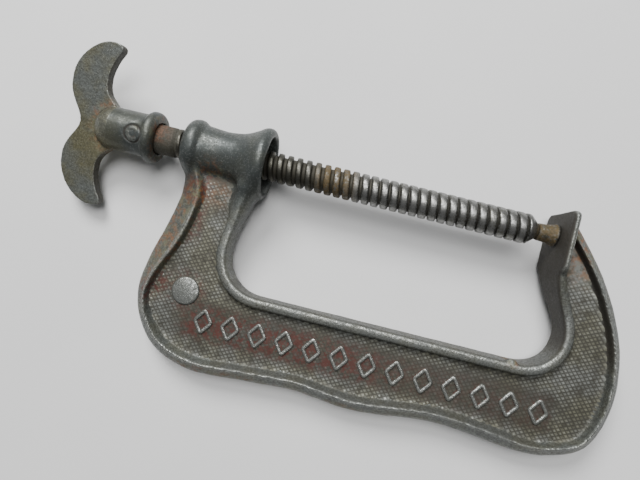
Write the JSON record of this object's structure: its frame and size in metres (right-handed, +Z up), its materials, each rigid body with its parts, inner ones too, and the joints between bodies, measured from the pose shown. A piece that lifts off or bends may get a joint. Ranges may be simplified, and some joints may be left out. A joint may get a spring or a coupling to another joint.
{
  "type": "c-clamp",
  "caption": "Cast C-shaped screw clamp: I-section frame with wavy spine, bell-mouthed boss, square-thread screw with wing handle and swivel button closing on a flared anvil.",
  "frame": {"origin": "bottom centre of the whole object's box as it lies on its side on a table, screw closed", "axes": "+X along the screw from the handle to the anvil, +Y in the table plane away from the spine, +Z up from the table"},
  "size_m": [0.2608, 0.132, 0.0323],
  "materials": {
    "frame_iron": "old malleable iron casting, grey-green patina, worn bright on the rims, rust and old red paint in the recess",
    "handle_iron": "old iron casting, olive-grey patina, smooth worn edges",
    "screw_steel": "dull turned steel, crests worn bright, dark grime and rust in the grooves",
    "rivet_steel": "hammered flush, darkened",
    "button_steel": "rust-brown steel with a worn bright rim"
  },
  "bodies": {
    "casting": {"frame": "frame_iron"},
    "button": {"swivel_button": "button_steel"},
    "screw": {"screw": "screw_steel", "wing_handle": "handle_iron", "handle_rivet": "rivet_steel"}
  },
  "joints": [
    {"name": "screw_advance", "type": "slide", "parent": "casting", "child": "button", "axis": [1, 0, 0], "range_m": [-0.1271, 0]},
    {"name": "screw_turn", "type": "hinge", "parent": "button", "child": "screw", "pos_m": [0.08775, 0.03008, 0.01614], "axis": [1, 0, 0], "range_deg": [-10800, 0]}
  ],
  "couplings": [
    {"joint": "screw_advance", "follows": "screw_turn", "m_per_rad": 0.00067376}
  ]
}
